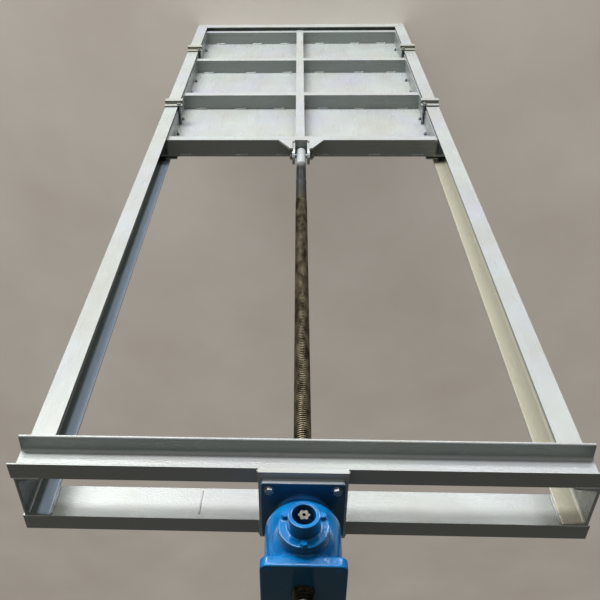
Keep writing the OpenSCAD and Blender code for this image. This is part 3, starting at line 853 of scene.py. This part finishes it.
low_corner, high_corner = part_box("bottom_seal")
middle = (low_corner + high_corner) / 2
strip = start("plane", size=1, location=(0, middle.y, middle.z),
    rotation=(math.radians(90), 0, math.radians(90)))
strip.scale = (high_corner.y - low_corner.y, high_corner.z - low_corner.z, 1)
bpy.ops.object.transform_apply(location=True, rotation=True, scale=True)
bpy.ops.object.mode_set(mode="EDIT")
bpy.ops.mesh.select_all(action="SELECT")
bpy.ops.transform.translate(value=(low_corner.x, 0, 0))
for _ in range(STRIP_RINGS):
    bpy.ops.mesh.extrude_region_move(
        TRANSFORM_OT_translate={"value": ((high_corner.x - low_corner.x) / STRIP_RINGS, 0, 0)})
pick(strip, lambda middle, way: abs(way.x) > 0.9 and middle.z < low_corner.z + 1 * MM, "EDGE")
bpy.ops.mesh.bevel(offset=5 * MM, segments=5)
pick(strip, lambda middle, way: abs(way.x) > 0.9 and middle.z > high_corner.z - 1 * MM, "EDGE")
bpy.ops.mesh.bevel(offset=1 * MM, segments=2)
face_outwards()
for corner in strip.data.vertices:
    hang = (high_corner.z - corner.co.z) / (high_corner.z - low_corner.z)
    corner.co.y += hang * STRIP_SAG * math.sin(corner.co.x * 23)
    corner.co.y = min(max(corner.co.y, low_corner.y), high_corner.y)
finish_piece(strip, "bottom_seal_rubber", "leaf", rubber, 40)
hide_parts("bottom_seal")

# %% [markdown]
# The gate is welded by hand with a stick. A bead is a row of small overlapping puddles, so it
# starts as an eight-sided rod along the seam, is cut into rings, and each ring swells and shifts a
# little. Short stitches hold the ribs to the skin, and longer seams hold the rest. They are painted
# over.

# %% Weld beads
PUDDLE, RINGS_PER_PUDDLE = 5 * MM, 2


def bead(first, second, size):
    """One seam from first to second. size is its half width."""
    first, second = Vector(first), Vector(second)
    length = (second - first).length
    rod = start("cylinder", vertices=8, radius=size, depth=length)
    pick(rod, lambda middle, way: abs(way.z) > 0.9, "EDGE")
    bpy.ops.mesh.subdivide(number_cuts=max(2, int(length / PUDDLE * RINGS_PER_PUDDLE) - 1))
    bpy.ops.object.mode_set(mode="OBJECT")
    seed = dice.uniform(0, 50)
    for corner in rod.data.vertices:
        along = corner.co.z
        drift = noise.noise(Vector((seed, 0, along / (9 * MM))))
        wander = noise.noise_vector(Vector((seed, 7, along / (16 * MM))))
        puddle = 0.1 * math.cos(math.tau * along / PUDDLE)
        ends = min(1, 0.45 + (length / 2 - abs(along)) / (3 * MM))
        corner.co.xy *= (1 + puddle + 0.3 * drift) * ends
        corner.co.xy += wander.xy * size * 0.25
    rod.data.transform(stand((first + second) / 2, second - first))
    return rod


def weld(name, body, material, seams):
    """Lays a bead along each seam: two ends and a half width in millimetres."""
    beads = [bead(first, second, size * MM) for first, second, size in seams]
    return finish_piece(join(beads), name, body, material, 60)


# %% Stitches between the ribs and the skin
STITCH_LEN, STITCH_SIZE = 62 * MM, 6.5 * MM

rib_tops = [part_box(f"left_rib_{i}")[1].z for i in (1, 2, 3, 4)]
rib_halves = [[corner.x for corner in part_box(name)] for name in ("left_rib_1", "right_rib_1")]
stitches = []
for z in rib_tops:
    for near, far in rib_halves:
        for share in (0.12, 0.46, 0.86):
            x = near + (far - near) * (share + dice.uniform(-0.05, 0.05))
            stitches.append(stand((x, skin_face, z), X if dice.random() < 0.5 else -X))
master = bead((0, 0, -STITCH_LEN / 2), (0, 0, STITCH_LEN / 2), STITCH_SIZE)
finish_piece(place_copies(master, stitches), "rib_stitch_welds", "leaf",
    level_enamel, 60)

# %% Seams at the ends of the ribs and between them
RIB_FLANGE, HALF_SEAM = 43 * MM, 35 * MM

leaf_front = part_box("left_rib_1")[0].y
side_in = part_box("left_side_plate")[0].x
rib_ends = (side_in, -side_in, rib_halves[0][0], rib_halves[1][1])
seams = []
for top in rib_tops:
    for x in rib_ends:
        if top == rib_tops[3] and abs(x) < 0.1:
            continue
        seams.append(((x, leaf_front + 3 * MM, top), (x, skin_face, top), 3.2))
for bottom, top in zip(rib_tops, rib_tops[1:]):
    for x in rib_ends:
        for share in (0.12, 0.5, 0.82):
            z = bottom + (top - RIB_FLANGE - bottom) * share
            seams.append(((x, skin_face, z - HALF_SEAM), (x, skin_face, z + HALF_SEAM), 3.8))
print("seams along the ribs:", len(seams))

# %% Seams round the lugs
lug_low, lug_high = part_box("left_lug")
lug_in, lug_out = lug_low.x, lug_high.x
gusset_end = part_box("left_gusset")[1].x - 3 * MM
on_gusset, top = lug_low.y - 1.5 * MM, rib_tops[3]
for side in BOTH_SIDES:
    for x in (lug_in, lug_out):
        seams.append(
            ((side * x, lug_low.y + 2 * MM, top), (side * x, lug_high.y - 2 * MM, top), 4.5))
    seams.append(((side * lug_in, on_gusset, top + 1 * MM),
        (side * gusset_end, on_gusset, top + 1 * MM), 8.5))
    seams.append(((side * lug_out, lug_low.y, top), (side * lug_out, lug_low.y, top + 90 * MM), 4))
    seams.append(((side * 0.115, skin_face, top), (side * 0.60, skin_face, top), 2.2))
weld("leaf_welds", "leaf", upright_enamel, seams)

# %% Seams on the frame
POST_FLANGE, MITRE_TOP, BUTT_X = 64 * MM, 63 * MM, 0.258

post_low, post_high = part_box("left_post")
back = post_high.y
head_low, head_top = (corner.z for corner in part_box("front_head_channel"))
plate_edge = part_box("mounting_plate")[1]
seams = []
for side in BOTH_SIDES:
    outer, inner = side * post_high.x, side * (post_high.x - POST_FLANGE)
    for y in (post_low.y, back):
        seams.append(((inner, y, head_low), (outer, y, head_low), 4.5))
        seams.append(((inner, y, head_low), (inner, y, head_top - 4 * MM), 5.0))
        seams.append(((inner, y, head_top), (outer, y, head_top), 3.0))
        seams.append(((outer - side * 1 * MM, y, 1 * MM), (inner, y, MITRE_TOP), 2.0))
    x = side * plate_edge.x
    for way in BOTH_SIDES:
        rim = way * (plate_edge.y - 5 * MM)
        seams.append(((x, way * back, head_top), (x, rim - way * 3 * MM, head_top), 3.5))
        seams.append(((x, rim, head_top), (x, rim, head_top + 9 * MM), 4.0))
seams.append(((BUTT_X, back, head_low + 6 * MM), (BUTT_X + 3 * MM, back, head_top - 14 * MM), 2.5))
weld("frame_welds", "frame", upright_enamel, seams)

# %% [markdown]
# A plain pale floor carries the gate. The photo's light comes from the open side, low and past the
# gate's foot, so the floor glows a little, as a large pale floor in daylight does.

# %% Floor
FLOOR_SIZE, PATCH_MM = 40, 900

floor = start("plane", size=FLOOR_SIZE, location=(0, 0, 0))
floor.name = "floor"
floor_paint, tree, principled, place = new_material("pale_concrete", 0, 0.85, Emission_Strength=0.3)
patches = speckle(tree, place, PATCH_MM, 0.3, 0.7, 6)
concrete = blend_colours(tree, patches, "D2CCC4", "C7C0B7")
tree.links.new(concrete, principled.inputs["Base Color"])
tree.links.new(concrete, principled.inputs["Emission Color"])
floor.data.materials.append(floor_paint)

# %% [markdown]
# The sky is bright in front, more so on the model's left, and dim and a little warm above and
# behind, because the upper faces of the photo's gate are dark and brownish. Three soft lights stand
# in front. The two low ones are mirrored in the glossy paint of the head, where the photo shows a
# broken white sheen, and the gap between them keeps the hoist and the web left of it free.

# %% Sky
world = bpy.data.worlds.new("studio")
bpy.context.scene.world = world
world.use_nodes = True
sky = world.node_tree
background = sky.nodes["Background"]
way = add_node(sky, "ShaderNodeTexCoord").outputs["Generated"]
towards = add_node(sky, "ShaderNodeSeparateXYZ", {"Vector": way}).outputs
in_front = ramp(sky, towards["Y"], 0.3, -0.9, 0.2, 0.44)
from_above = ramp(sky, towards["Z"], -0.05, 0.4, 1, 0.78)
from_the_left = ramp(sky, towards["X"], -0.8, 0.8, 0.55, 1.3)
warmth = ramp(sky, towards["Z"], 0, 0.5)
sky.links.new(blend_colours(sky, warmth, "F1F6FB", "FFF4E6"), background.inputs["Color"])
sky.links.new(product(sky, in_front, from_above, from_the_left), background.inputs["Strength"])


# %% Lights
def soft_light(name, at, aim, size, watts, colour):
    """A rectangle of light that shows in reflections, but not to the camera itself."""
    lamp = bpy.data.lights.new(name, "AREA")
    lamp.shape = "RECTANGLE"
    lamp.size, lamp.size_y = size
    lamp.energy = watts
    lamp.color = linear(colour)[:3]
    holder = bpy.data.objects.new(name, lamp)
    bpy.context.collection.objects.link(holder)
    holder.location = at
    holder.rotation_euler = (Vector(aim) - Vector(at)).to_track_quat("-Z", "Y").to_euler()
    holder.visible_camera = False


soft_light("front_light", (2.4, -7.0, 0.9), (0, 0, 2.2), (6, 1.2), 600, "FFFFFF")
soft_light("low_light_left", (2.05, -4.9, 0.4), (0.5, 0.1, 4.0), (1.5, 0.6), 66, "FBFFFF")
soft_light("low_light_right", (-1.65, -4.9, 0.4), (-0.2, 0.1, 4.0), (2.3, 0.6), 72, "FBFFFF")
print("lights:", len(bpy.data.lights))
